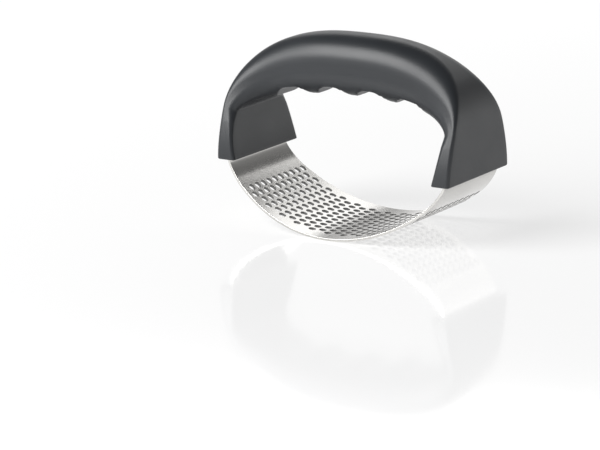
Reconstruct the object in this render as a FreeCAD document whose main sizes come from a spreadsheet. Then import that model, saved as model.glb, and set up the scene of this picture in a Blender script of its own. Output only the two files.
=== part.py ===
import FreeCAD, Part
import math
import os

import Sketcher

# A rocker garlic press: a curved, perforated steel plate whose two ends are
# held in the legs of an arched plastic handle. The handle is two welded shells
# that clamp the plate's tabs, with four steel dowel pins through the tabs.
#
# Frame: X runs from leg to leg, Y across the press, Z up. The origin is the
# point where the plate touches the surface that the press stands on.

os.makedirs("parts", exist_ok=True)
doc = FreeCAD.newDocument("garlic_press")

# ---------------------------------------------------------------- dimensions

DRIVING = [
    # plate
    ("plate_thickness", 1.0, "steel sheet"),
    ("plate_radius", 64.2, "underside of the rocking stretch"),
    ("plate_swing", 39.0, "half angle of the rocking stretch, degrees"),
    ("flank_radius", 29.2, "underside of the rising ends"),
    ("flank_swing", 61.1, "slope where the rising ends stop, degrees"),
    ("bend_radius", 4.0, "outside of the bend into the tab"),
    ("tab_lean", 3.8, "tab angle off vertical, degrees"),
    ("tab_reach", 16.0, "height of the tab inside the leg"),
    ("tab_width", 40.2, "plate width where it enters the legs"),
    ("tab_top_width", 30.0, "width of the tab at its top"),
    ("plate_bulge", 6.6, "extra half width at the middle of the plate"),
    # perforation
    ("hole_size", 2.7, "diameter of a crushing hole"),
    ("hole_spacing", 4.1, "distance between neighbouring holes"),
    ("row_count", 25.0, "rows along the plate"),
    ("row_holes", 10.0, "holes in each row"),
    # handle
    ("leg_bottom", 25.3, "height of the legs' flat ends"),
    ("leg_width", 46.4, "width of a leg at its end"),
    ("leg_outside", 51.3, "middle of the press to a leg's outer face, at the end"),
    ("leg_inside", 43.3, "middle of the press to a leg's inner face, at the end"),
    ("handle_reach", 51.5, "half of the handle's overall length"),
    ("shoulder_height", 41.4, "height where the handle is longest"),
    ("handle_height", 75.4, "overall height"),
    ("opening_reach", 45.8, "half of the hand opening's length"),
    ("opening_shoulder", 43.2, "height where the hand opening is longest"),
    ("grip_width", 23.3, "width of the grip at the top"),
    ("edge_radius", 1.4, "rounding along the legs' edges"),
    ("crown_radius", 10.3, "rounding along the top of the grip"),
    ("palm_radius", 9.4, "rounding along the underside of the grip"),
    ("grip_bottom", 51.8, "height of the middle ridge under the grip"),
    ("finger_pitch", 17.4, "distance between finger ridges"),
    ("finger_depth", 3.6, "depth of the finger grooves"),
    ("grip_wall", 2.6, "wall of the hollow grip"),
    ("rib_thickness", 1.6, "cross ribs inside the grip"),
    ("seam_height", 66.0, "height of the seam between the shells at the top"),
    # dowel pins
    ("pin_size", 3.0, "diameter of a dowel pin"),
    ("pin_length", 4.0, "length of a dowel pin"),
    ("pin_height", 36.0, "height of the pins"),
    ("pin_spacing", 22.0, "distance between the two pins of a tab"),
]

sheet = doc.addObject("Spreadsheet::Sheet", "dimensions")
for row, (alias, number, meaning) in enumerate(DRIVING, start=1):
    sheet.set("A%d" % row, alias)
    sheet.set("B%d" % row, str(number))
    sheet.setAlias("B%d" % row, alias)
    sheet.set("C%d" % row, meaning)
doc.recompute()


def dim(alias):
    """Number in the sheet's cell of that name."""
    return float(sheet.get(alias))


def bind(target, path, formula):
    """Tie one property to the sheet. Aliases in the formula start with a $."""
    target.setExpression(path, formula.replace("$", "dimensions."))


def origin_plane(body, role):
    """The body's own XY, XZ or YZ plane."""
    return next(plane for plane in body.Origin.OriginFeatures if plane.Role == role)


def blend(low, high, value):
    """0 below low, 1 above high, and smooth between them."""
    share = min(max((value - low) / (high - low), 0.0), 1.0)
    return share * share * (3.0 - 2.0 * share)


def at(across, height, along=0.0):
    """Point from a place in the XZ profile and a distance along Y."""
    return FreeCAD.Vector(across, along, height)


# --------------------------------------------------------------------- plate

# Each bend of the underside turns about a centre. The next centre lies on the
# line from the end of one arc to its own centre, so that the arcs are tangent.

plate_radius = dim("plate_radius")
flank_radius = dim("flank_radius")
bend_radius = dim("bend_radius")
plate_turn = math.radians(dim("plate_swing"))
flank_turn = math.radians(dim("flank_swing"))
tab_turn = math.radians(90.0 - dim("tab_lean"))


def next_centre(centre, radius, turn, next_radius):
    """Centre of the arc that follows, tangent at the slope given by turn."""
    step = radius - next_radius
    return (centre[0] + step * math.sin(turn), centre[1] - step * math.cos(turn))


rock_centre = (0.0, plate_radius)
flank_centre = next_centre(rock_centre, plate_radius, plate_turn, flank_radius)
bend_centre = next_centre(flank_centre, flank_radius, flank_turn, bend_radius)
tab_foot = (bend_centre[0] + bend_radius * math.sin(tab_turn),
            bend_centre[1] - bend_radius * math.cos(tab_turn))
tab_run = (dim("leg_bottom") + dim("tab_reach") - tab_foot[1]) / math.sin(tab_turn)


def tab_face(height, depth=0.0):
    """Distance from the middle to the tab's outer face, or depth inside it."""
    return tab_foot[0] + (height - tab_foot[1]) / math.tan(tab_turn) - depth / math.sin(tab_turn)


def plate_arc(centre, radius, start, end, side):
    """Arc of the profile between two slopes, on the right (1) or left (-1)."""
    slopes = sorted((side * start, side * end))
    circle = Part.Circle(FreeCAD.Vector(side * centre[0], centre[1], 0), FreeCAD.Vector(0, 0, 1), radius)
    return Part.ArcOfCircle(circle, slopes[0] - math.pi / 2, slopes[1] - math.pi / 2)


def tab_line(depth, side):
    """Straight side of the tab in the profile, at a depth inside the outer face."""
    foot = FreeCAD.Vector(tab_foot[0] - depth * math.sin(tab_turn),
                          tab_foot[1] + depth * math.cos(tab_turn), 0)
    top = foot + FreeCAD.Vector(math.cos(tab_turn), math.sin(tab_turn), 0) * tab_run
    for point in (foot, top):
        point.x *= side
    return Part.LineSegment(foot, top)


def make_plate_blank():
    """The bent sheet with its barrel outline, before the holes are punched."""
    body = doc.addObject("PartDesign::Body", "plate_blank")
    profile = body.newObject("Sketcher::SketchObject", "plate_profile")
    profile.AttachmentSupport = (origin_plane(body, "XZ_Plane"), "")
    profile.MapMode = "FlatFace"
    tab_ends = []
    for name, depth in (("outer", 0.0), ("inner", dim("plate_thickness"))):
        rock = profile.addGeometry(plate_arc(rock_centre, plate_radius - depth, -plate_turn, plate_turn, 1))
        radius = profile.addConstraint(Sketcher.Constraint("Radius", rock, plate_radius - depth))
        profile.renameConstraint(radius, name + "_radius")
        for side in (1, -1):
            flank = profile.addGeometry(
                plate_arc(flank_centre, flank_radius - depth, plate_turn, flank_turn, side))
            bend = profile.addGeometry(
                plate_arc(bend_centre, bend_radius - depth, flank_turn, tab_turn, side))
            tab = profile.addGeometry(tab_line(depth, side))
            near, far = (1, 2) if side == 1 else (2, 1)
            profile.addConstraint(Sketcher.Constraint("Coincident", rock, far, flank, near))
            profile.addConstraint(Sketcher.Constraint("Coincident", flank, far, bend, near))
            profile.addConstraint(Sketcher.Constraint("Coincident", bend, far, tab, 1))
            tab_ends.append(tab)
    outer_right, outer_left, inner_right, inner_left = tab_ends
    for outer, inner in ((outer_right, inner_right), (outer_left, inner_left)):
        outer_end = profile.getPoint(outer, 2)
        inner_end = profile.getPoint(inner, 2)
        end = profile.addGeometry(Part.LineSegment(outer_end, inner_end))
        profile.addConstraint(Sketcher.Constraint("Coincident", outer, 2, end, 1))
        profile.addConstraint(Sketcher.Constraint("Coincident", end, 2, inner, 2))
    bind(profile, "Constraints.outer_radius", "$plate_radius")
    bind(profile, "Constraints.inner_radius", "$plate_radius - $plate_thickness")

    sheet_metal = body.newObject("PartDesign::Pad", "bent_sheet")
    sheet_metal.Profile = profile
    sheet_metal.Midplane = True
    bind(sheet_metal, "Length", "$tab_width + 2 * $plate_bulge")

    outline = body.newObject("Sketcher::SketchObject", "plate_outline")
    outline.AttachmentSupport = (origin_plane(body, "XY_Plane"), "")
    outline.MapMode = "FlatFace"
    shoulder = tab_foot[0]
    tab_half = dim("tab_width") / 2
    middle_half = tab_half + dim("plate_bulge")
    margin = 10.0
    corners = [FreeCAD.Vector(x * (shoulder + margin), y * (middle_half + margin), 0)
               for x, y in ((-1, -1), (1, -1), (1, 1), (-1, 1))]
    for index, corner in enumerate(corners):
        outline.addGeometry(Part.LineSegment(corner, corners[(index + 1) % 4]))
    bulge_radius = (shoulder ** 2 + dim("plate_bulge") ** 2) / (2 * dim("plate_bulge"))
    end_reach = shoulder + margin / 2
    end_half = middle_half - bulge_radius + math.sqrt(bulge_radius ** 2 - end_reach ** 2)
    ends = [FreeCAD.Vector(x * end_reach, y * end_half, 0) for x, y in ((-1, -1), (1, -1), (1, 1), (-1, 1))]
    outline.addGeometry(Part.Arc(ends[0], FreeCAD.Vector(0, -middle_half, 0), ends[1]))
    outline.addGeometry(Part.LineSegment(ends[1], ends[2]))
    outline.addGeometry(Part.Arc(ends[2], FreeCAD.Vector(0, middle_half, 0), ends[3]))
    outline.addGeometry(Part.LineSegment(ends[3], ends[0]))

    trim = body.newObject("PartDesign::Pocket", "barrel_outline")
    trim.Profile = outline
    trim.Midplane = True
    bind(trim, "Length", "3 * $leg_bottom * 2")

    taper = body.newObject("Sketcher::SketchObject", "tab_outline")
    taper.AttachmentSupport = (origin_plane(body, "YZ_Plane"), "")
    taper.MapMode = "FlatFace"
    past_tab = 1.0     # the taper runs on past the tab so that no sliver of it stays wide
    low = dim("leg_bottom") + past_tab
    high = dim("leg_bottom") + dim("tab_reach") + past_tab
    top_half = dim("tab_top_width") / 2
    for side in (1, -1):
        corners = [FreeCAD.Vector(side * tab_half, low, 0),
                   FreeCAD.Vector(side * (tab_half + margin), low, 0),
                   FreeCAD.Vector(side * (tab_half + margin), high, 0),
                   FreeCAD.Vector(side * top_half, high, 0)]
        for index, corner in enumerate(corners):
            taper.addGeometry(Part.LineSegment(corner, corners[(index + 1) % 4]))
    shaped = body.newObject("PartDesign::Pocket", "tapered_tabs")
    shaped.Profile = taper
    shaped.Midplane = True
    bind(shaped, "Length", "3 * $handle_reach")
    body.Tip = shaped
    return body


def make_punches():
    """Every crushing hole, and the pin holes in the tabs, as one group of tools."""
    reach = 3.0
    row_gap = dim("hole_spacing") * math.sqrt(3.0) / 2
    hole_radius = dim("hole_size") / 2
    rows = int(dim("row_count"))
    holes = int(dim("row_holes"))
    centre = at(0, plate_radius)
    tools = []
    for row in range(rows):
        angle = math.degrees((row - (rows - 1) / 2) * row_gap / plate_radius)
        stagger = dim("hole_spacing") / 4 * (-1 if row % 2 else 1)
        for hole in range(holes):
            along = (hole - (holes - 1) / 2) * dim("hole_spacing") + stagger
            tool = Part.makeCylinder(hole_radius, 2 * reach, at(0, -reach, along))
            tool.rotate(centre, FreeCAD.Vector(0, -1, 0), angle)
            tools.append(tool)
    tools += pin_solids(dim("pin_length") + reach)
    punches = doc.addObject("Part::Feature", "hole_punches")
    punches.Shape = Part.makeCompound(tools)
    return punches


# ---------------------------------------------------------------------- pins

def pin_solids(length):
    """Four cylinders of that length, centred on the tabs' thickness."""
    solids = []
    middle = tab_face(dim("pin_height"), dim("plate_thickness") / 2)
    for side in (1, -1):
        for row in (1, -1):
            start = at(side * middle - length / 2, dim("pin_height"), row * dim("pin_spacing") / 2)
            solids.append(Part.makeCylinder(dim("pin_size") / 2, length, start, FreeCAD.Vector(1, 0, 0)))
    return solids


def make_pins():
    """The dowel pins: parametric cylinders, kept as separate solids in one group."""
    pins = []
    for side in (1, -1):
        for row in (1, -1):
            pin = doc.addObject("Part::Cylinder", "dowel_pin")
            bind(pin, "Radius", "$pin_size / 2")
            bind(pin, "Height", "$pin_length")
            middle = tab_face(dim("pin_height"), dim("plate_thickness") / 2)
            start = at(side * middle - dim("pin_length") / 2, dim("pin_height"), row * dim("pin_spacing") / 2)
            pin.Placement = FreeCAD.Placement(start, FreeCAD.Rotation(FreeCAD.Vector(0, 1, 0), 90))
            pins.append(pin)
    group = doc.addObject("Part::Compound", "tab_pins")
    group.Links = pins
    return group


# ------------------------------------------------------------ handle profiles

# The handle's arch, its hand opening and the seam between its shells are the
# same kind of line in the XZ plane: a leg that leans out a little up to the
# shoulder, and a rounded arch from there to the middle of the press.

ARCH_FULLNESS = 2.53     # 2 would be an ellipse, more is squarer
OPENING_FULLNESS = 1.91

OUTSIDE = {"foot": dim("leg_outside"), "reach": dim("handle_reach"), "shoulder": dim("shoulder_height"),
           "top": dim("handle_height"), "fullness": ARCH_FULLNESS}
OPENING = {"foot": dim("leg_inside"), "reach": dim("opening_reach"), "shoulder": dim("opening_shoulder"),
           "top": dim("grip_bottom"), "fullness": OPENING_FULLNESS}
SEAM = {"foot": tab_face(dim("leg_bottom")), "reach": tab_face(dim("shoulder_height")),
        "shoulder": dim("shoulder_height"), "top": dim("seam_height"), "fullness": ARCH_FULLNESS}


def leg_across(line, height):
    """Distance from the middle to the line, below its shoulder."""
    drop = (line["shoulder"] - height) / (line["shoulder"] - dim("leg_bottom"))
    return line["reach"] - (line["reach"] - line["foot"]) * drop ** 2


def arch_point(line, turn):
    """Place on the arch, from the top (turn 0) to the shoulder (a quarter turn)."""
    power = 2.0 / line["fullness"]
    rise = line["top"] - line["shoulder"]
    return (line["reach"] * math.sin(turn) ** power,
            line["shoulder"] + rise * max(math.cos(turn), 0.0) ** power)


def half_line(line, low):
    """Closely spaced places on the right half of a line, from the top to a height."""
    steps = 240
    places = [arch_point(line, math.pi / 2 * step / steps) for step in range(steps + 1)]
    for step in range(1, steps + 1):
        height = line["shoulder"] + (dim("leg_bottom") - line["shoulder"]) * step / steps
        places.append((leg_across(line, height), height))
    return [place for place in places if place[1] >= low - 1e-6]


def place_along(places, share):
    """Place at a share of the length of a run of places."""
    lengths = [0.0]
    for before, after in zip(places, places[1:]):
        lengths.append(lengths[-1] + math.dist(before, after))
    target = share * lengths[-1]
    for index in range(1, len(places)):
        if lengths[index] >= target:
            span = lengths[index] - lengths[index - 1]
            part = (target - lengths[index - 1]) / span
            return tuple(a + (b - a) * part for a, b in zip(places[index - 1], places[index]))
    return places[-1]


# --------------------------------------------------------------- handle solid

FAN_START = 40.0        # the cross sections are level up to this height
FAN_COUNT = 30          # cross sections from there to the top of the grip
LEVEL_COUNT = 5         # level cross sections in each leg
CORNER_POINTS = 5       # control points round each corner of a cross section
FLAT_POINTS = 3         # control points inside each flat stretch of a cross section
CROWN_GROWTH = 46.0, 75.0   # heights between which the crown's rounding grows
PALM_GROWTH = 31.8, 74.0    # heights between which the rounding inside the arch grows
LEAST_FLAT = 0.5        # flat side left between the two roundings of a cross section
HOLLOW_LOW = 62.0       # outer height of the lowest cross sections of the cavity
WIDTH_TAPER = 1.73      # how late the handle narrows on its way up
RIDGE_SHARPNESS = 2.9   # how narrow the ridges between the finger grooves are


def section_places():
    """Pairs of outer and inner places for the right half's cross sections, top first."""
    outer_run = half_line(OUTSIDE, FAN_START)
    inner_run = half_line(OPENING, FAN_START)
    pairs = []
    for step in range(FAN_COUNT):
        share = step / FAN_COUNT
        pairs.append((place_along(outer_run, share), place_along(inner_run, share)))
    for step in range(LEVEL_COUNT):
        height = FAN_START + (dim("leg_bottom") - FAN_START) * step / (LEVEL_COUNT - 1)
        inner = leg_across(OPENING, height) if height < OPENING["shoulder"] else inner_run[-1][0]
        pairs.append(((leg_across(OUTSIDE, height), height), (inner, height)))
    return pairs


def half_width(height):
    """Half of the handle's width, at a height of its outer face."""
    climb = (height - dim("leg_bottom")) / (dim("handle_height") - dim("leg_bottom"))
    taper = math.sin(min(climb, 1.0) * math.pi / 2) ** WIDTH_TAPER
    return dim("leg_width") / 2 - (dim("leg_width") - dim("grip_width")) / 2 * taper


def finger_height(across):
    """Height of the grooved underside of the grip. Beyond the grooves it is no limit."""
    if abs(across) > 2 * dim("finger_pitch"):
        return 0.0
    share = 1.0 - (abs(across) / OPENING["reach"]) ** OPENING["fullness"]
    arch = OPENING["shoulder"] + (OPENING["top"] - OPENING["shoulder"]) * share ** (1.0 / OPENING["fullness"])
    wave = math.sin(math.pi * across / dim("finger_pitch")) ** 2
    groove = (1.0 - math.exp(-RIDGE_SHARPNESS * wave)) / (1.0 - math.exp(-RIDGE_SHARPNESS))
    return arch + dim("finger_depth") * groove


def between(start, end, count):
    """Evenly spaced points inside a straight stretch."""
    return [start + (end - start) * ((step + 1) / (count + 1)) for step in range(count)]


def section_ring(outer, inner, half, outer_radius, inner_radius):
    """Control points round a rounded rectangle, from the middle of its inner side and back.

    It reaches from an outer to an inner place, and half wide each way along Y."""
    top = at(*outer)
    bottom = at(*inner)
    inward = (bottom - top).normalize()
    sideways = FreeCAD.Vector(0, 1, 0)
    quarter = [math.pi / 2 * step / (CORNER_POINTS - 1) for step in range(CORNER_POINTS)]

    def corner(end, into, radius, side):
        """Points of one corner, from the flat end to the side."""
        centre = end + into * radius + sideways * side * (half - radius)
        return [centre - into * radius * math.cos(turn) + sideways * side * radius * math.sin(turn)
                for turn in quarter]

    ring = []
    for side in (1, -1):
        palm = corner(bottom, -inward, inner_radius, side)
        crown = corner(top, inward, outer_radius, side)[::-1]
        run = [bottom] + between(bottom, palm[0], FLAT_POINTS) + palm
        run += between(palm[-1], crown[0], FLAT_POINTS) + crown + between(crown[-1], top, FLAT_POINTS)
        ring += run + [top] if side == 1 else run[::-1]
    return ring


def grooved(ring):
    """The ring with every point under the finger grooves raised into them."""
    return [at(point.x, max(point.z, finger_height(point.x)), point.y) for point in ring]


def clamped_knots(count, degree):
    """Knots and multiplicities of a clamped, evenly spaced B-spline."""
    spans = count - degree
    return [float(knot) for knot in range(spans + 1)], [degree + 1] + [1] * (spans - 1) + [degree + 1]


def skin_solid(rings):
    """Solid under one smooth surface over the rings, closed by its two flat ends."""
    degree = 3
    knots_along, counts_along = clamped_knots(len(rings), degree)
    knots_round, counts_round = clamped_knots(len(rings[0]), degree)
    skin = Part.BSplineSurface()
    skin.buildFromPolesMultsKnots(rings, counts_along, counts_round, knots_along, knots_round,
                                  False, False, degree, degree)
    middle = knots_round[-1] / 2
    flanks = []
    for start, end in ((0.0, middle), (middle, knots_round[-1])):
        flank = skin.copy()
        flank.segment(0.0, knots_along[-1], start, end)
        flanks.append(flank)
    faces = [flank.toShape() for flank in flanks]
    for along in (0.0, knots_along[-1]):
        outline = [flank.uIso(along).toShape() for flank in flanks]
        faces.append(Part.Face(Part.Wire(outline)))
    shell = Part.makeShell(faces)
    shell.sewShape()
    solid = Part.Solid(shell)
    if solid.Volume < 0:
        solid.reverse()
    return solid


def mirrored(place):
    """The same place on the left half."""
    return (-place[0], place[1])


def arch_loft(wall=0.0, floor=0.0, lowest=0.0):
    """Solid through the cross sections. A wall and a floor shrink them for the cavity."""
    right = []
    for outer, inner in section_places():
        if outer[1] < lowest:
            continue
        depth = math.dist(outer, inner)
        step = [(b - a) / depth for a, b in zip(outer, inner)]
        top = tuple(a + s * wall for a, s in zip(outer, step))
        bottom = tuple(b - s * floor for b, s in zip(inner, step))
        crown = blend(*CROWN_GROWTH, outer[1])
        palm = blend(*PALM_GROWTH, outer[1])
        outer_radius = dim("edge_radius") + (dim("crown_radius") - dim("edge_radius")) * crown
        inner_radius = dim("edge_radius") + (dim("palm_radius") - dim("edge_radius")) * palm
        half = half_width(outer[1]) - wall
        if wall:
            outer_radius = max(outer_radius - wall, 1.0)
            inner_radius = max(inner_radius - wall, 1.0)
        inner_radius = min(inner_radius, depth - wall - floor - outer_radius - LEAST_FLAT)
        right.append((top, bottom, half, outer_radius, inner_radius))
    left = [(mirrored(top), mirrored(bottom)) + tuple(rest) for top, bottom, *rest in right[:0:-1]]
    rings = [section_ring(*section) for section in left + right]
    return skin_solid(rings if wall else [grooved(ring) for ring in rings])


def prism(wire, depth):
    """Solid made by pushing a flat outline in the XZ plane both ways along Y."""
    face = Part.Face(wire)
    face.translate(FreeCAD.Vector(0, -depth, 0))
    return face.extrude(FreeCAD.Vector(0, 2 * depth, 0))


def seam_region():
    """Everything on the grip's side of the seam between the shells."""
    steps = 24
    arch = [arch_point(SEAM, math.pi / 2 * step / steps) for step in range(steps + 1)]
    points = [at(-x, z) for x, z in arch[:0:-1]] + [at(x, z) for x, z in arch]
    seam = Part.BSplineCurve()
    seam.interpolate(points)
    low = tab_foot[1] - 5.0
    foot = tab_face(low)
    corners = [points[-1], at(foot, low), at(-foot, low), points[0]]
    edges = [seam.toShape()]
    edges += [Part.LineSegment(a, b).toShape() for a, b in zip(corners, corners[1:])]
    return prism(Part.Wire(edges), dim("leg_width"))


def rib_slabs():
    """Slabs left standing across the hollow grip, over the finger ridges."""
    thickness = dim("rib_thickness")
    width = dim("leg_width")
    slabs = []
    for ridge in (-1, 0, 1):
        start = at(ridge * dim("finger_pitch") - thickness / 2, 0, -width)
        slabs.append(Part.makeBox(thickness, 2 * width, 2 * dim("handle_height"), start))
    return slabs


def make_handle(plate_blank):
    """The two shells, split along the seam from one hollow arch, with room for the tabs."""
    arch = doc.addObject("Part::Feature", "handle_arch")
    arch.Shape = arch_loft()
    hollow = doc.addObject("Part::Feature", "grip_hollow")
    hollow.Shape = arch_loft(dim("grip_wall"), dim("grip_wall") + dim("finger_depth"), HOLLOW_LOW)
    ribs = doc.addObject("Part::Feature", "grip_ribs")
    ribs.Shape = Part.makeCompound(rib_slabs())
    chambers = doc.addObject("Part::Cut", "grip_chambers")
    chambers.Base = hollow
    chambers.Tool = ribs
    walls = doc.addObject("Part::Cut", "handle_walls")
    walls.Base = arch
    walls.Tool = chambers
    sockets = doc.addObject("Part::Feature", "pin_sockets")
    sockets.Shape = Part.makeCompound(pin_solids(dim("pin_length")))
    drilled = doc.addObject("Part::Cut", "drilled_walls")
    drilled.Base = walls
    drilled.Tool = sockets
    region = doc.addObject("Part::Feature", "grip_side")
    region.Shape = seam_region()
    outer = doc.addObject("Part::Cut", "outer_shell")
    outer.Base = drilled
    outer.Tool = region
    grip_side = doc.addObject("Part::Common", "grip_side_walls")
    grip_side.Base = drilled
    grip_side.Tool = region
    inner = doc.addObject("Part::Cut", "grip_shell")
    inner.Base = grip_side
    inner.Tool = plate_blank
    return outer, inner


# ------------------------------------------------------------------ sub-parts

plate_blank = make_plate_blank()
rocker_plate = doc.addObject("Part::Cut", "rocker_plate")
rocker_plate.Base = plate_blank
rocker_plate.Tool = make_punches()
outer_shell, grip_shell = make_handle(plate_blank)
tab_pins = make_pins()
doc.recompute()

SUB_PARTS = [rocker_plate, outer_shell, grip_shell, tab_pins]

for item in doc.Objects:
    if "Invalid" in item.State or "Error" in item.State:
        raise RuntimeError("%s failed: %s" % (item.Name, item.State))

for sub_part in SUB_PARTS:
    shape = sub_part.Shape
    if shape.isNull() or not shape.isValid():
        raise RuntimeError("%s has no valid shape" % sub_part.Label)
    print(sub_part.Label, "solids", len(shape.Solids), "volume", round(shape.Volume, 1),
          "box", [round(v, 2) for v in (shape.BoundBox.XMin, shape.BoundBox.YMin, shape.BoundBox.ZMin,
                                        shape.BoundBox.XMax, shape.BoundBox.YMax, shape.BoundBox.ZMax)])
    shape.exportStep("parts/%s.step" % sub_part.Label)
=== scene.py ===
import math

import bmesh
import bpy
import numpy as np
from mathutils import Matrix, Vector
from mathutils.geometry import delaunay_2d_cdt


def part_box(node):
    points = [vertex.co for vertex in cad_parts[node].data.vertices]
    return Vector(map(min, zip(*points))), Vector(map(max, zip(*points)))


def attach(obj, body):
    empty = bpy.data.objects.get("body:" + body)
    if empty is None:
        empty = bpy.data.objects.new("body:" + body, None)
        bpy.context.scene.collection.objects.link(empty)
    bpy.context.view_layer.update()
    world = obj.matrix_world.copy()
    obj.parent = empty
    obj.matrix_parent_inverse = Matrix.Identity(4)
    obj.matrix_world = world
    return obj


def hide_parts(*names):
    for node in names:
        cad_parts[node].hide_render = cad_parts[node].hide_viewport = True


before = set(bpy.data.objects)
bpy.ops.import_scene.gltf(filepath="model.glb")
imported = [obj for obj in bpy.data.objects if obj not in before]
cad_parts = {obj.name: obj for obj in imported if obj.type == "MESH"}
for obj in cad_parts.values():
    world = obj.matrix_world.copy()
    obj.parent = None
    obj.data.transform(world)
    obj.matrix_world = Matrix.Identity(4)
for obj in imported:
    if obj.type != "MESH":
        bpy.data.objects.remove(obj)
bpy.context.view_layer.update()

# Looks of the rocker garlic press. Lengths in the formulas are millimetres, and
# a mesh is turned into metres as it is built. X runs from leg to leg, Y across.
MM = 0.001

shell_low, shell_high = [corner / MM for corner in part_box("outer_shell")]
plate_top = (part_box("rocker_plate")[1] / MM).z
pins_low, pins_high = [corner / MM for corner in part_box("tab_pins")]

# ------------------------------------------------------------------ proportions

LEG_BOTTOM = shell_low.z
HANDLE_TOP = shell_high.z
HANDLE_REACH = shell_high.x
LEG_HALF = shell_high.y
GRIP_HALF = 11.65           # half of the grip's width at the top
SHOULDER = 41.4             # height where the handle is longest
LEG_OUTSIDE = 51.3          # middle of the press to a leg's outer face, at the leg's end
LEG_INSIDE = 43.3           # and to its inner face
OPENING_REACH = 45.8        # half of the hand opening's length
OPENING_SHOULDER = 43.2     # height where the hand opening is longest
GRIP_BOTTOM = 51.8          # height of the middle ridge under the grip
SEAM_TOP = 66.0             # height of the seam between the shells at the top
ARCH_FULLNESS = 2.53        # 2 would be an ellipse, more is squarer
OPENING_FULLNESS = 1.91
WIDTH_TAPER = 1.73          # how late the handle narrows on its way up
EDGE_RADIUS = 1.4           # rounding along the legs' edges
CROWN_RADIUS = 10.3         # rounding along the top of the grip
PALM_RADIUS = 9.4           # rounding along the underside of the grip
CROWN_GROWTH = 46.0, 75.0   # heights between which the crown's rounding grows
PALM_GROWTH = 31.8, 74.0    # heights between which the rounding inside the arch grows
LEAST_FLAT = 0.5            # flat side left between the two roundings of a cross section
FINGER_PITCH = 17.4         # distance between finger ridges
FINGER_DEPTH = 3.6          # depth of the finger grooves
RIDGE_SHARPNESS = 2.9       # how narrow the ridges between the finger grooves are
GROOVE_SOFTNESS = 0.9       # height over which a groove's edge is smoothed

THICKNESS = 1.0             # of the steel sheet
ROCK_RADIUS = 64.2          # underside of the rocking stretch
ROCK_TURN = math.radians(39.0)
FLANK_RADIUS = 29.2         # underside of the rising ends
FLANK_TURN = math.radians(61.1)
BEND_RADIUS = 4.0           # outside of the bend into the tab
TAB_TURN = math.radians(90.0 - 3.8)
TAB_HALF = 20.1             # half of the plate's width where it enters the legs
TAB_TOP_HALF = 15.0
PAST_TAB = 1.0              # the tabs start to narrow this far inside the legs
TAB_SHORT = 0.05            # the tabs drawn here stop this far below the CAD ones
BULGE = 6.6                 # extra half width at the middle of the plate
HOLE_RADIUS = 1.35
HOLE_SPACING = 4.1
HOLE_ROWS = 25
ROW_HOLES = 10

TINY = 1e-6


def blend(low, high, value):
    """0 below low, 1 above high, and smooth between them."""
    share = min(max((value - low) / (high - low), 0.0), 1.0)
    return share * share * (3.0 - 2.0 * share)


# ------------------------------------------------------------------------ meshes

def say_if_open(name, work):
    """Prints how many edges of a mesh aren't between two faces, if any."""
    open_edges = sum(1 for edge in work.edges if len(edge.link_faces) != 2)
    if open_edges:
        print(name, "has", open_edges, "edges that aren't between two faces")


def place_piece(name, mesh, replaced):
    """Puts a mesh in the scene, in place of a CAD node."""
    piece = bpy.data.objects.new(name, mesh)
    bpy.context.scene.collection.objects.link(piece)
    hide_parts(replaced)
    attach(piece, "root")


# ------------------------------------------------------------- profile of the plate

def next_centre(centre, radius, turn, next_radius):
    """Centre of the arc that follows, tangent at the slope given by turn."""
    step = radius - next_radius
    return (centre[0] + step * math.sin(turn), centre[1] - step * math.cos(turn))


ROCK_CENTRE = (0.0, ROCK_RADIUS)
FLANK_CENTRE = next_centre(ROCK_CENTRE, ROCK_RADIUS, ROCK_TURN, FLANK_RADIUS)
BEND_CENTRE = next_centre(FLANK_CENTRE, FLANK_RADIUS, FLANK_TURN, BEND_RADIUS)
TAB_FOOT = (BEND_CENTRE[0] + BEND_RADIUS * math.sin(TAB_TURN),
            BEND_CENTRE[1] - BEND_RADIUS * math.cos(TAB_TURN))
ROCK_RUN = ROCK_RADIUS * ROCK_TURN
FLANK_RUN = ROCK_RUN + FLANK_RADIUS * (FLANK_TURN - ROCK_TURN)
BEND_RUN = FLANK_RUN + BEND_RADIUS * (TAB_TURN - FLANK_TURN)
TAB_RUN = BEND_RUN + (plate_top - TAB_FOOT[1]) / math.sin(TAB_TURN) - TAB_SHORT


def tab_face(height):
    """Distance from the middle to the tab's outer face."""
    return TAB_FOOT[0] + (height - TAB_FOOT[1]) / math.tan(TAB_TURN)


def profile_at(run, depth):
    """Place and inward direction at a length along the underside, that deep in the sheet."""
    side = 1.0 if run >= 0 else -1.0
    run = abs(run)
    if run <= ROCK_RUN:
        centre, radius, turn = ROCK_CENTRE, ROCK_RADIUS, run / ROCK_RADIUS
    elif run <= FLANK_RUN:
        centre, radius = FLANK_CENTRE, FLANK_RADIUS
        turn = ROCK_TURN + (run - ROCK_RUN) / FLANK_RADIUS
    else:
        centre, radius = BEND_CENTRE, BEND_RADIUS
        turn = min(FLANK_TURN + (run - FLANK_RUN) / BEND_RADIUS, TAB_TURN)
    x = centre[0] + (radius - depth) * math.sin(turn)
    z = centre[1] - (radius - depth) * math.cos(turn)
    beyond = max(run - BEND_RUN, 0.0)
    x += beyond * math.cos(TAB_TURN)
    z += beyond * math.sin(TAB_TURN)
    return side * x, z, -side * math.sin(turn), math.cos(turn)


def plate_half(run):
    """Half of the plate's width at a length along it."""
    x, z, _, _ = profile_at(run, 0.0)
    bulge_radius = (TAB_FOOT[0] ** 2 + BULGE ** 2) / (2 * BULGE)
    barrel = TAB_HALF + BULGE - bulge_radius + math.sqrt(bulge_radius ** 2 - x ** 2)
    climb = (z - LEG_BOTTOM - PAST_TAB) / (plate_top - LEG_BOTTOM)
    taper = TAB_HALF - (TAB_HALF - TAB_TOP_HALF) * max(climb, 0.0)
    return min(barrel, taper) if climb > 0 else barrel


# ---------------------------------------------------------------- perforated plate

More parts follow.
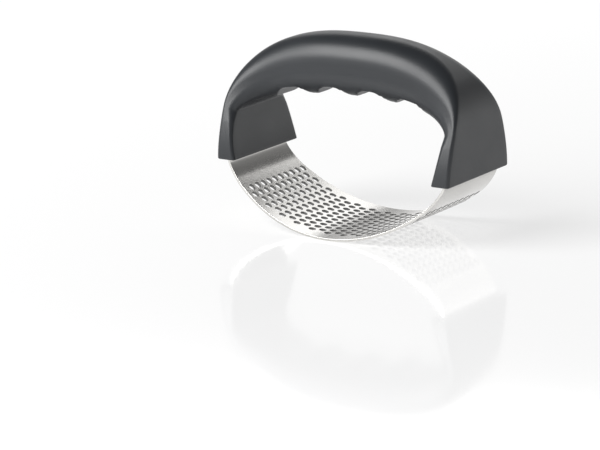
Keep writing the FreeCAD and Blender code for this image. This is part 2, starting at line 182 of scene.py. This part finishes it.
# Rounded edge of the sheet from its underside to its top: distance into the
# sheet, depth, and how far the surface has turned in degrees. The same edge
# runs round the outline and round every hole.
LOWER_RIM = ((0.16, 0.0, 0), (0.075, 0.012, 30), (0.02, 0.055, 60), (0.0, 0.14, 90))
RIM = LOWER_RIM + tuple((inset, THICKNESS - depth, 180 - tip) for inset, depth, tip in LOWER_RIM[::-1])
RIM_REACH = RIM[0][0]
HOLE_SIDES = 28
LONG_EDGE_STEPS = 190
TAB_END_STEPS = 24
FILL_SPACING = 1.3              # distance between the points that fill the sheet
EDGE_GAP = FILL_SPACING * 0.45  # least distance from those points to the outline's rim
HOLE_GAP = 0.34                 # and to a hole's rim


def hole_places():
    """Centres of the crushing holes: length along the plate and distance across it."""
    row_gap = HOLE_SPACING * math.sqrt(3.0) / 2
    places = []
    for row in range(HOLE_ROWS):
        run = (row - (HOLE_ROWS - 1) / 2) * row_gap
        stagger = HOLE_SPACING / 4 * (-1 if row % 2 else 1)
        for hole in range(ROW_HOLES):
            places.append((run, (hole - (ROW_HOLES - 1) / 2) * HOLE_SPACING + stagger))
    return places


def outline_loop():
    """Points round the flat plate, evenly spaced, and directions into the sheet."""
    runs = [TAB_RUN * (2 * step / LONG_EDGE_STEPS - 1) for step in range(LONG_EDGE_STEPS + 1)]
    ends = [TAB_TOP_HALF * (2 * step / TAB_END_STEPS - 1) for step in range(1, TAB_END_STEPS)]
    loop = [(run, -plate_half(run)) for run in runs]
    loop += [(TAB_RUN, across) for across in ends]
    loop += [(run, plate_half(run)) for run in runs[::-1]]
    loop += [(-TAB_RUN, across) for across in ends[::-1]]
    points = np.array(loop)
    ahead = np.roll(points, -1, 0) - points
    ahead /= np.linalg.norm(ahead, axis=1)[:, None]
    tangent = ahead + np.roll(ahead, 1, 0)
    tangent /= np.linalg.norm(tangent, axis=1)[:, None]
    inward = np.stack([-tangent[:, 1], tangent[:, 0]], 1)
    return points, inward


def circle_loop(centre, radius):
    """Points round a hole, and directions into the sheet."""
    turn = np.arange(HOLE_SIDES) * 2 * math.pi / HOLE_SIDES
    outward = np.stack([np.cos(turn), np.sin(turn)], 1)
    return np.array(centre) + radius * outward, outward


def plate_loops():
    """The outline and every hole of the flat sheet, with the holes' centres and radii."""
    pin_radius = (pins_high.z - pins_low.z) / 2
    pin_run = BEND_RUN + ((pins_low.z + pins_high.z) / 2 - TAB_FOOT[1]) / math.sin(TAB_TURN)
    pin_across = pins_high.y - pin_radius
    holes = [(place, HOLE_RADIUS) for place in hole_places()]
    holes += [((side * pin_run, row * pin_across), pin_radius) for side in (1, -1) for row in (1, -1)]
    loops = [outline_loop()] + [circle_loop(centre, radius) for centre, radius in holes]
    return loops, np.array([centre for centre, _ in holes]), np.array([radius for _, radius in holes])


def fill_points(centres, radii):
    """Points between the outline and the holes, so that the sheet bends smoothly."""
    filling = []
    rows = int(2 * TAB_RUN / (FILL_SPACING * math.sqrt(3.0) / 2))
    for row in range(rows + 1):
        run = -TAB_RUN + 2 * TAB_RUN * row / rows
        half = plate_half(run) - RIM_REACH - EDGE_GAP
        columns = int(2 * half / FILL_SPACING)
        for column in range(columns + 1):
            across = -half + 2 * half * (column + 0.5 * (row % 2)) / columns
            if abs(across) > half or abs(run) > TAB_RUN - RIM_REACH - EDGE_GAP:
                continue
            away = np.hypot(centres[:, 0] - run, centres[:, 1] - across) - radii
            if away.min() > RIM_REACH + HOLE_GAP:
                filling.append(Vector((run, across)))
    return filling


def flat_triangles(loops, centres, radii):
    """The flat sheet cut into triangles: its points, the triangles, and the points of each loop."""
    flat, edges, starts = [], [], []
    for points, inward in loops:
        start = len(flat)
        starts.append(start)
        count = len(points)
        flat += [Vector(point) for point in points + inward * RIM_REACH]
        edges += [(start + k, start + (k + 1) % count) for k in range(count)]
    flat += fill_points(centres, radii)
    points, _, triangles, origins, _, _ = delaunay_2d_cdt(flat, edges, [], 1, TINY)
    places = np.array([tuple(point) for point in points])
    found = {source: index for index, sources in enumerate(origins) for source in sources}
    on_loops = [[found[start + k] for k in range(len(loop[0]))] for start, loop in zip(starts, loops)]
    # A triangle belongs to the sheet if its middle lies beyond every hole's polygon.
    open_radii = (radii + RIM_REACH) * math.cos(math.pi / HOLE_SIDES)
    kept = []
    for triangle in triangles:
        middle = places[list(triangle)].mean(0)
        if (np.hypot(*(centres - middle).T) > open_radii).all():
            kept.append(tuple(triangle))
    return places, kept, on_loops


def make_plate(material, wall_material):
    """The perforated sheet, cut flat and lifted onto its profile."""
    loops, centres, radii = plate_loops()
    places, triangles, on_loops = flat_triangles(loops, centres, radii)
    vertices, normals, faces = [], [], []

    def lifted(run, across, depth, lean):
        """Adds a vertex. lean is how its normal tips: along the sheet, across it and through it."""
        x, z, nx, nz = profile_at(run, depth)
        along, sideways, through = lean
        normals.append((along * nz + through * nx, sideways, -along * nx + through * nz))
        vertices.append((x, across, z))
        return len(vertices) - 1

    under = [lifted(run, across, 0.0, (0, 0, -1)) for run, across in places]
    upper = [lifted(run, across, THICKNESS, (0, 0, 1)) for run, across in places]
    for a, b, c in triangles:
        faces.append((under[a], under[c], under[b]))
        faces.append((upper[a], upper[b], upper[c]))

    walls = []
    for (points, inward), on_loop in zip(loops, on_loops):
        count = len(points)
        rings = [[under[index] for index in on_loop]]
        for inset, depth, tip in RIM[1:-1]:
            tip = math.radians(tip)
            rings.append([lifted(point[0], point[1], depth,
                                 (-into[0] * math.sin(tip), -into[1] * math.sin(tip), -math.cos(tip)))
                          for point, into in zip(points + inward * inset, inward)])
        rings.append([upper[index] for index in on_loop])
        is_hole = on_loop is not on_loops[0]
        for step, (lower, higher) in enumerate(zip(rings, rings[1:])):
            for k in range(count):
                after = (k + 1) % count
                if is_hole and 0 < step < len(RIM) - 2:
                    walls.append(len(faces))
                faces.append((lower[k], lower[after], higher[after], higher[k]))

    mesh = bpy.data.meshes.new("perforated_plate")
    mesh.from_pydata([tuple(c * MM for c in v) for v in vertices], [], faces)
    work = bmesh.new()
    work.from_mesh(mesh)
    bmesh.ops.recalc_face_normals(work, faces=work.faces)
    for face in work.faces:
        face.smooth = True
    say_if_open("perforated_plate", work)
    work.to_mesh(mesh)
    work.free()
    mesh.normals_split_custom_set_from_vertices(normals)
    mesh.materials.append(material)
    mesh.materials.append(wall_material)
    # The hole walls take the darker steel, whose dark grey is painted shade inside the holes.
    for index in walls:
        mesh.polygons[index].material_index = 1
    place_piece("perforated_plate", mesh, "rocker_plate")


# ------------------------------------------------------------------------- handle

OUTSIDE = {"foot": LEG_OUTSIDE, "reach": HANDLE_REACH, "shoulder": SHOULDER,
           "top": HANDLE_TOP, "fullness": ARCH_FULLNESS}
OPENING = {"foot": LEG_INSIDE, "reach": OPENING_REACH, "shoulder": OPENING_SHOULDER,
           "top": GRIP_BOTTOM, "fullness": OPENING_FULLNESS}
SEAM = {"foot": tab_face(LEG_BOTTOM), "reach": tab_face(SHOULDER), "shoulder": SHOULDER,
        "top": SEAM_TOP, "fullness": ARCH_FULLNESS}
LINE_STEPS = 1200       # steps along each half of a line
FAN_START = 40.0        # the cross sections are level up to this height
FAN_STEPS = 150
LEVEL_STEPS = 26
CORNER_STEPS = 11
FLAT_STEPS = 7
SIDE_STEPS = 2          # steps down the outer shell's flat side
SEAM_MARGIN = 0.2       # least distance from the seam to a rounding
SEAM_HALVINGS = 24
FOOT_BEVEL = 0.55       # rounding of a leg's end face
BEVEL_STEPS = 5
FOOT_GAP = 0.2          # least distance from the bevel to the next cross section
LEAST_RADIUS = 0.3      # rounding left on the smallest cross sections
SHARP_ANGLE = math.radians(35.0)
MERGE_DISTANCE = 0.002  # points closer than this are merged


def leg_across(line, height):
    """Distance from the middle to a line in the leg, below the line's shoulder."""
    drop = (line["shoulder"] - height) / (line["shoulder"] - LEG_BOTTOM)
    return line["reach"] - (line["reach"] - line["foot"]) * drop ** 2


def line_across(line, height):
    """Distance from the middle to a line, at any height below its top."""
    if height <= line["shoulder"]:
        return leg_across(line, height)
    climb = (height - line["shoulder"]) / (line["top"] - line["shoulder"])
    share = max(1.0 - climb ** line["fullness"], 0.0)
    return line["reach"] * share ** (1.0 / line["fullness"])


def half_line(line, low):
    """Closely spaced places on the right half of a line, from the top to a height."""
    turn = np.linspace(0, math.pi / 2, LINE_STEPS + 1)
    power = 2.0 / line["fullness"]
    x = line["reach"] * np.sin(turn) ** power
    z = line["shoulder"] + (line["top"] - line["shoulder"]) * np.clip(np.cos(turn), 0, 1) ** power
    heights = np.linspace(line["shoulder"], LEG_BOTTOM, LINE_STEPS + 1)[1:]
    leg = np.array([(leg_across(line, height), height) for height in heights])
    run = np.vstack([np.stack([x, z], 1), leg])
    return run[run[:, 1] >= low - TINY]


def places_along(run, shares):
    """Places at the given shares of the length of a run of places."""
    lengths = np.concatenate([[0], np.cumsum(np.linalg.norm(np.diff(run, axis=0), axis=1))])
    targets = np.asarray(shares) * lengths[-1]
    return np.stack([np.interp(targets, lengths, run[:, 0]), np.interp(targets, lengths, run[:, 1])], 1)


def section_places():
    """Pairs of outer and inner places for the right half's cross sections, top first."""
    shares = np.arange(FAN_STEPS) / FAN_STEPS
    outer = places_along(half_line(OUTSIDE, FAN_START), shares)
    inner = places_along(half_line(OPENING, FAN_START), shares)
    pairs = list(zip(outer, inner))
    for step in range(LEVEL_STEPS + 1):
        height = FAN_START + (LEG_BOTTOM - FAN_START) * step / LEVEL_STEPS
        pairs.append((np.array([leg_across(OUTSIDE, height), height]),
                      np.array([line_across(OPENING, height), height])))
    return pairs


def half_width(height):
    """Half of the handle's width, at a height of its outer face."""
    climb = (height - LEG_BOTTOM) / (HANDLE_TOP - LEG_BOTTOM)
    taper = math.sin(min(max(climb, 0.0), 1.0) * math.pi / 2) ** WIDTH_TAPER
    return LEG_HALF - (LEG_HALF - GRIP_HALF) * taper


def into_grooves(x, z):
    """Height that a point of the grip is raised to by the finger grooves."""
    if abs(x) >= 2 * FINGER_PITCH:
        return z
    share = 1.0 - (abs(x) / OPENING_REACH) ** OPENING["fullness"]
    arch = OPENING_SHOULDER + (GRIP_BOTTOM - OPENING_SHOULDER) * share ** (1.0 / OPENING["fullness"])
    wave = math.sin(math.pi * x / FINGER_PITCH) ** 2
    depth_share = (1.0 - math.exp(-RIDGE_SHARPNESS * wave)) / (1.0 - math.exp(-RIDGE_SHARPNESS))
    rise = arch + FINGER_DEPTH * depth_share - z
    if rise <= 0:
        return z
    if rise < GROOVE_SOFTNESS:
        return z + rise * rise * (2 * GROOVE_SOFTNESS - rise) / GROOVE_SOFTNESS ** 2
    return z + rise


def seam_depth(outer, inner):
    """How far from the outer place a section crosses the seam."""
    low, high = 0.0, 1.0
    for _ in range(SEAM_HALVINGS):
        middle = (low + high) / 2
        x, z = outer + (inner - outer) * middle
        within = z < SEAM["top"] and abs(x) < line_across(SEAM, z)
        low, high = (low, middle) if within else (middle, high)
    return high * float(np.linalg.norm(inner - outer))


def corner_arc(depth_centre, across_centre, radius, start, end):
    """Points (depth, across) round one corner."""
    turns = np.linspace(start, end, CORNER_STEPS)
    return [(depth_centre - radius * math.cos(t), across_centre + radius * math.sin(t)) for t in turns]


def straight(start, end, steps):
    """Points (depth, across) inside a straight stretch."""
    return [tuple(np.array(start) + (np.array(end) - np.array(start)) * (k + 1) / (steps + 1))
            for k in range(steps)]


def section_shape(depth, half, outer_radius, inner_radius, seam, part):
    """Points (depth, across) round the outer or the inner part of a cross section."""
    seam = min(max(seam, outer_radius + SEAM_MARGIN), depth - inner_radius - SEAM_MARGIN)
    if part == "outer":
        side = corner_arc(outer_radius, half - outer_radius, outer_radius, 0.0, math.pi / 2)
        top = (0.0, 0.0)
        right = [top] + straight(top, side[0], FLAT_STEPS) + side
        right += straight(side[-1], (seam, half), SIDE_STEPS) + [(seam, half)]
    else:
        centre = depth - inner_radius
        side = corner_arc(centre, half - inner_radius, inner_radius, math.pi, math.pi / 2)
        bottom = (depth, 0.0)
        right = [bottom] + straight(bottom, side[0], FLAT_STEPS) + side
        right += straight(side[-1], (seam, half), FLAT_STEPS) + [(seam, half)]
    left = [(d, -a) for d, a in right[1:]][::-1]
    closing = straight((seam, half), (seam, -half), FLAT_STEPS)
    return right + closing + left


def shell_rings(part):
    """Cross sections of one shell from the left leg's end over the grip to the right one's."""
    # The last sections shrink, which rounds the edge of the leg's end face.
    foot = []
    for step in range(BEVEL_STEPS + 1):
        turn = math.pi / 2 * step / BEVEL_STEPS
        height = LEG_BOTTOM + FOOT_BEVEL * (1 - math.sin(turn))
        inset = FOOT_BEVEL * (1 - math.cos(turn))
        foot.append((np.array([leg_across(OUTSIDE, height), height]),
                     np.array([line_across(OPENING, height), height]), inset))
    foot_top = LEG_BOTTOM + FOOT_BEVEL + FOOT_GAP
    right = [(outer, inner, 0.0) for outer, inner in section_places() if outer[1] > foot_top] + foot
    rings = []
    for outer, inner, inset in right:
        depth = float(np.linalg.norm(inner - outer))
        toward = (inner - outer) / depth
        outer_radius = EDGE_RADIUS + (CROWN_RADIUS - EDGE_RADIUS) * blend(*CROWN_GROWTH, outer[1])
        inner_radius = EDGE_RADIUS + (PALM_RADIUS - EDGE_RADIUS) * blend(*PALM_GROWTH, outer[1])
        inner_radius = min(inner_radius, depth - outer_radius - LEAST_FLAT)
        seam = seam_depth(outer, inner)
        shape = section_shape(depth - 2 * inset, half_width(outer[1]) - inset,
                              max(outer_radius - inset, LEAST_RADIUS),
                              max(inner_radius - inset, LEAST_RADIUS),
                              seam - inset, part)
        ring = []
        for into, across in shape:
            x, z = outer + toward * (into + inset)
            if part == "inner":
                z = into_grooves(x, z)
            ring.append((x, across, z))
        rings.append(ring)
    left = [[(-x, y, z) for x, y, z in ring] for ring in rings[:0:-1]]
    return left + rings


def make_shell(part, name, material, replaced):
    """One shell of the handle, a closed tube of cross sections with flat ends."""
    rings = shell_rings(part)
    count = len(rings[0])
    vertices = [tuple(c * MM for c in point) for ring in rings for point in ring]
    faces = []
    for row in range(len(rings) - 1):
        for k in range(count):
            after = (k + 1) % count
            faces.append((row * count + k, row * count + after,
                          (row + 1) * count + after, (row + 1) * count + k))
    faces.append(tuple(range(count)))
    faces.append(tuple(range((len(rings) - 1) * count, len(rings) * count)))

    mesh = bpy.data.meshes.new(name)
    mesh.from_pydata(vertices, [], faces)
    work = bmesh.new()
    work.from_mesh(mesh)
    bmesh.ops.remove_doubles(work, verts=work.verts, dist=MERGE_DISTANCE * MM)
    bmesh.ops.recalc_face_normals(work, faces=work.faces)
    for face in work.faces:
        face.smooth = True
    for edge in work.edges:
        edge.smooth = not (len(edge.link_faces) == 2 and edge.calc_face_angle() > SHARP_ANGLE)
    say_if_open(name, work)
    work.to_mesh(mesh)
    work.free()
    mesh.materials.append(material)
    place_piece(name, mesh, replaced)


# ---------------------------------------------------------------------- materials

class Nodes:
    """Short ways to build a material's node tree."""

    def __init__(self, name, **settings):
        self.material = bpy.data.materials.new(name)
        self.material.use_nodes = True
        self.tree = self.material.node_tree
        self.shader = self.tree.nodes["Principled BSDF"]
        for socket, value in settings.items():
            self.shader.inputs[socket.replace("_", " ")].default_value = value

    def add(self, kind, inputs=None, **settings):
        """A node with its settings made and its inputs set or linked."""
        node = self.tree.nodes.new(kind)
        for key, value in settings.items():
            setattr(node, key, value)
        for key, value in (inputs or {}).items():
            if isinstance(value, bpy.types.NodeSocket):
                self.tree.links.new(value, node.inputs[key])
            else:
                node.inputs[key].default_value = value
        return node

    def link(self, source, socket):
        """Links a node's output to one of the shader's sockets."""
        self.tree.links.new(source, self.shader.inputs[socket])


def plastic():
    """Satin charcoal plastic with a fine moulded texture and slight handling marks."""
    mat = Nodes("handle_plastic", Base_Color=(0.02, 0.023, 0.027, 1), Roughness=0.4)
    place = mat.add("ShaderNodeTexCoord").outputs["Object"]
    grain = mat.add("ShaderNodeTexNoise", {"Vector": place, "Scale": 2600.0, "Detail": 3.0})
    patches = mat.add("ShaderNodeTexNoise", {"Vector": place, "Scale": 60.0, "Detail": 5.0})
    rough = mat.add("ShaderNodeMapRange", {
        "Value": patches.outputs["Fac"], "From Min": 0.3, "From Max": 0.7, "To Min": 0.34, "To Max": 0.42})
    mat.link(rough.outputs["Result"], "Roughness")
    tone = mat.add("ShaderNodeMix", {0: patches.outputs["Fac"], 6: (0.017, 0.019, 0.022, 1),
                                     7: (0.022, 0.025, 0.029, 1)}, data_type="RGBA")
    mat.link(tone.outputs[2], "Base Color")
    bump = mat.add("ShaderNodeBump", {"Height": grain.outputs["Fac"], "Strength": 0.16, "Distance": 0.0001})
    mat.link(bump.outputs["Normal"], "Normal")
    return mat.material


def steel(name):
    """Stainless steel, brushed along the press."""
    mat = Nodes(name, Base_Color=(0.62, 0.61, 0.59, 1), Metallic=1.0, Roughness=0.3)
    place = mat.add("ShaderNodeTexCoord").outputs["Object"]
    stretched = mat.add("ShaderNodeMapping", {"Vector": place, "Scale": (60.0, 5200.0, 60.0)})
    lines = mat.add("ShaderNodeTexNoise", {
        "Vector": stretched.outputs["Vector"], "Scale": 1.0, "Detail": 4.0})
    patches = mat.add("ShaderNodeTexNoise", {"Vector": place, "Scale": 90.0, "Detail": 4.0})
    rough = mat.add("ShaderNodeMapRange", {
        "Value": patches.outputs["Fac"], "From Min": 0.3, "From Max": 0.7, "To Min": 0.15, "To Max": 0.19})
    mat.link(rough.outputs["Result"], "Roughness")
    bump = mat.add("ShaderNodeBump", {"Height": lines.outputs["Fac"], "Strength": 0.25, "Distance": 0.00004})
    mat.link(bump.outputs["Normal"], "Normal")
    return mat.material


def sheared_steel_painted_shade():
    """Hole walls of dull, scratched steel that a punch leaves; their dark grey colour is painted shade
    inside the holes.
    """
    mat = Nodes("sheared_steel_painted_shade", Base_Color=(0.2, 0.2, 0.2, 1), Metallic=0.7, Roughness=0.5)
    place = mat.add("ShaderNodeTexCoord").outputs["Object"]
    scratches = mat.add("ShaderNodeTexNoise", {"Vector": place, "Scale": 4000.0, "Detail": 3.0})
    # Tones between two dark greys: the darkness is painted shade inside the holes, and the scratches vary
    # it.
    tone = mat.add("ShaderNodeMix", {0: scratches.outputs["Fac"], 6: (0.12, 0.12, 0.12, 1),
                                     7: (0.26, 0.255, 0.25, 1)}, data_type="RGBA")
    mat.link(tone.outputs[2], "Base Color")
    bump = mat.add("ShaderNodeBump", {
        "Height": scratches.outputs["Fac"], "Strength": 0.3, "Distance": 0.00005})
    mat.link(bump.outputs["Normal"], "Normal")
    return mat.material


plate_steel = steel("plate_steel")
pin_steel = steel("pin_steel")
handle_plastic = plastic()

make_plate(plate_steel, sheared_steel_painted_shade())
make_shell("outer", "handle_outer_shell", handle_plastic, "outer_shell")
make_shell("inner", "handle_grip_shell", handle_plastic, "grip_shell")

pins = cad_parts["tab_pins"]
pins.data.materials.clear()
pins.data.materials.append(pin_steel)

# -------------------------------------------------------------------- floor, lights

FLOOR_HALF = 3.0
corners = [(x * FLOOR_HALF, y * FLOOR_HALF, 0) for x, y in ((-1, -1), (1, -1), (1, 1), (-1, 1))]
floor_mesh = bpy.data.meshes.new("floor")
floor_mesh.from_pydata(corners, [], [(0, 1, 2, 3)])
floor = bpy.data.objects.new("floor", floor_mesh)
bpy.context.scene.collection.objects.link(floor)
white = Nodes("pale_floor", Base_Color=(0.42, 0.42, 0.42, 1), Roughness=0.08,
              Emission_Color=(1, 1, 1, 1), Emission_Strength=0.58)
floor_mesh.materials.append(white.material)

# The studio: bright at the horizon and dim above it, so that the dark plastic
# has something dark to reflect between the softboxes. Shares of the way up, and greys.
STUDIO_GREYS = ((0.0, 1.0), (0.12, 0.8), (0.30, 0.32), (0.5, 0.12), (1.0, 0.1))
world = bpy.data.worlds.new("studio")
world.use_nodes = True
tree = world.node_tree
direction = tree.nodes.new("ShaderNodeTexCoord")
height = tree.nodes.new("ShaderNodeSeparateXYZ")
ramp = tree.nodes.new("ShaderNodeValToRGB")
tree.links.new(direction.outputs["Generated"], height.inputs["Vector"])
tree.links.new(height.outputs["Z"], ramp.inputs["Fac"])
tree.links.new(ramp.outputs["Color"], tree.nodes["Background"].inputs["Color"])
ramp.color_ramp.interpolation = "EASE"
marks = ramp.color_ramp.elements
for position, _ in STUDIO_GREYS[1:-1]:
    marks.new(position)
for mark, (position, grey) in zip(marks, STUDIO_GREYS):
    mark.position = position
    mark.color = (grey, grey, grey, 1)
bpy.context.scene.world = world
bpy.context.scene.view_settings.view_transform = "Standard"


def softbox(name, azimuth, rise, distance, size, radiance):
    """A soft square light aimed at the press. Angles in degrees, azimuth from -Y towards +X."""
    turn, climb = math.radians(azimuth), math.radians(rise)
    place = Vector((math.sin(turn) * math.cos(climb), -math.cos(turn) * math.cos(climb), math.sin(climb)))
    light = bpy.data.lights.new(name, "AREA")
    light.shape = "RECTANGLE"
    light.size, light.size_y = size
    light.energy = radiance * size[0] * size[1] * math.pi
    lamp = bpy.data.objects.new(name, light)
    lamp.location = place * distance
    lamp.rotation_euler = place.to_track_quat("Z", "Y").to_euler()
    bpy.context.scene.collection.objects.link(lamp)


softbox("front", -32.0, 37.0, 1.5, (1.1, 1.0), 8.0)
softbox("behind", 196.0, 28.0, 1.6, (1.7, 0.45), 1.5)

# --------------------------------------------------------------------------- camera

CAMERA_TURN = math.radians(32.35)
CAMERA_RISE = math.radians(14.13)
CAMERA_ROLL = -0.0111
CAMERA_DISTANCE = 1.284
CAMERA_TARGET = Vector((-0.0283, 0.0, -0.0032))
FOCAL_LENGTH = 197.7

toward = Vector((math.sin(CAMERA_TURN) * math.cos(CAMERA_RISE),
                 -math.cos(CAMERA_TURN) * math.cos(CAMERA_RISE), math.sin(CAMERA_RISE)))
right = Vector((math.cos(CAMERA_TURN), math.sin(CAMERA_TURN), 0))
up = toward.cross(right)
cam_x = right * math.cos(CAMERA_ROLL) + up * math.sin(CAMERA_ROLL)
cam_y = up * math.cos(CAMERA_ROLL) - right * math.sin(CAMERA_ROLL)
lens = bpy.data.cameras.new("camera")
lens.lens = FOCAL_LENGTH
lens.sensor_width = 36.0
camera = bpy.data.objects.new("camera", lens)
place = CAMERA_TARGET + toward * CAMERA_DISTANCE
camera.matrix_world = Matrix((
    (cam_x.x, cam_y.x, toward.x, place.x),
    (cam_x.y, cam_y.y, toward.y, place.y),
    (cam_x.z, cam_y.z, toward.z, place.z),
    (0, 0, 0, 1)))
bpy.context.scene.collection.objects.link(camera)
bpy.context.scene.camera = camera
